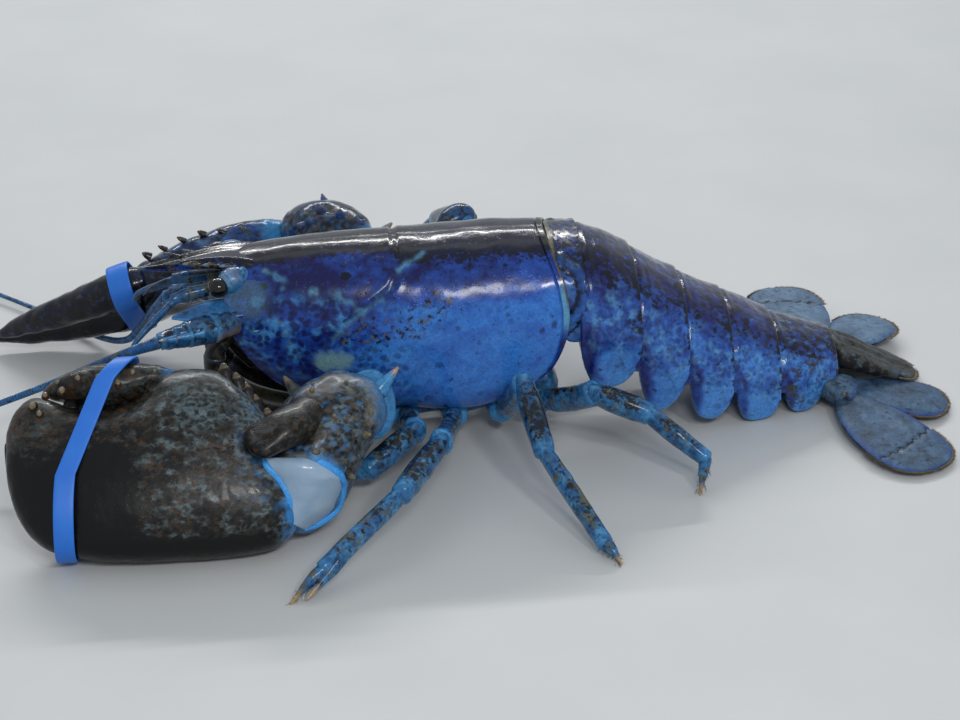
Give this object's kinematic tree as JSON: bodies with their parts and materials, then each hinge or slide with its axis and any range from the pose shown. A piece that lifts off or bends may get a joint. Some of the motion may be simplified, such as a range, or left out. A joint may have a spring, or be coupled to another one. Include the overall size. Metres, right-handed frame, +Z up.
{
  "type": "american lobster",
  "caption": "Life-size american lobster resting on the floor, blue-shelled, with a crusher and a cutter claw banded shut, long feelers and a spread tail fan.",
  "frame": {"origin": "centre of the bounding box at floor level", "axes": "+X from the head towards the tail, +Y towards the animal's right side (the cutter claw), +Z up"},
  "size_m": [0.5126, 0.2966, 0.0767],
  "materials": {
    "shell": "wet gloss",
    "claw_shell": "wet gloss",
    "leg_shell": "wet gloss",
    "fan_shell": "wet gloss",
    "belly": "satin",
    "mouthparts": "satin",
    "eye": "high gloss",
    "band": "satin"
  },
  "bodies": {
    "root": {"carapace": "shell", "thorax_underside": "belly", "abdomen_1": "shell", "abdomen_2": "shell", "abdomen_3": "shell", "abdomen_4": "shell", "abdomen_5": "shell", "abdomen_6": "shell", "telson": "fan_shell", "left_uropod_base": "fan_shell", "left_uropod_inner": "fan_shell", "left_uropod_outer": "fan_shell", "left_uropod_outer_tip": "fan_shell", "right_uropod_base": "fan_shell", "right_uropod_inner": "fan_shell", "right_uropod_outer": "fan_shell", "right_uropod_outer_tip": "fan_shell", "left_eyestalk": "leg_shell", "left_eye": "eye", "right_eyestalk": "leg_shell", "right_eye": "eye", "left_antenna_base": "leg_shell", "left_antenna": "leg_shell", "left_antennal_scale": "leg_shell", "left_antennule": "leg_shell", "right_antenna_base": "leg_shell", "right_antenna": "leg_shell", "right_antennal_scale": "leg_shell", "right_antennule": "leg_shell", "left_maxilliped": "mouthparts", "right_maxilliped": "mouthparts", "crusher_palm": "claw_shell", "crusher_finger": "claw_shell", "crusher_band": "band", "crusher_wrist": "claw_shell", "crusher_arm": "leg_shell", "cutter_palm": "claw_shell", "cutter_finger": "claw_shell", "cutter_band": "band", "cutter_wrist": "claw_shell", "cutter_arm": "leg_shell", "left_leg_2_upper": "leg_shell", "left_leg_2_lower": "leg_shell", "left_leg_3_upper": "leg_shell", "left_leg_3_lower": "leg_shell", "left_leg_4_upper": "leg_shell", "left_leg_4_lower": "leg_shell", "left_leg_5_upper": "leg_shell", "left_leg_5_lower": "leg_shell", "right_leg_2_upper": "leg_shell", "right_leg_2_lower": "leg_shell", "right_leg_3_upper": "leg_shell", "right_leg_3_lower": "leg_shell", "right_leg_4_upper": "leg_shell", "right_leg_4_lower": "leg_shell", "right_leg_5_upper": "leg_shell", "right_leg_5_lower": "leg_shell"}
  },
  "joints": []
}
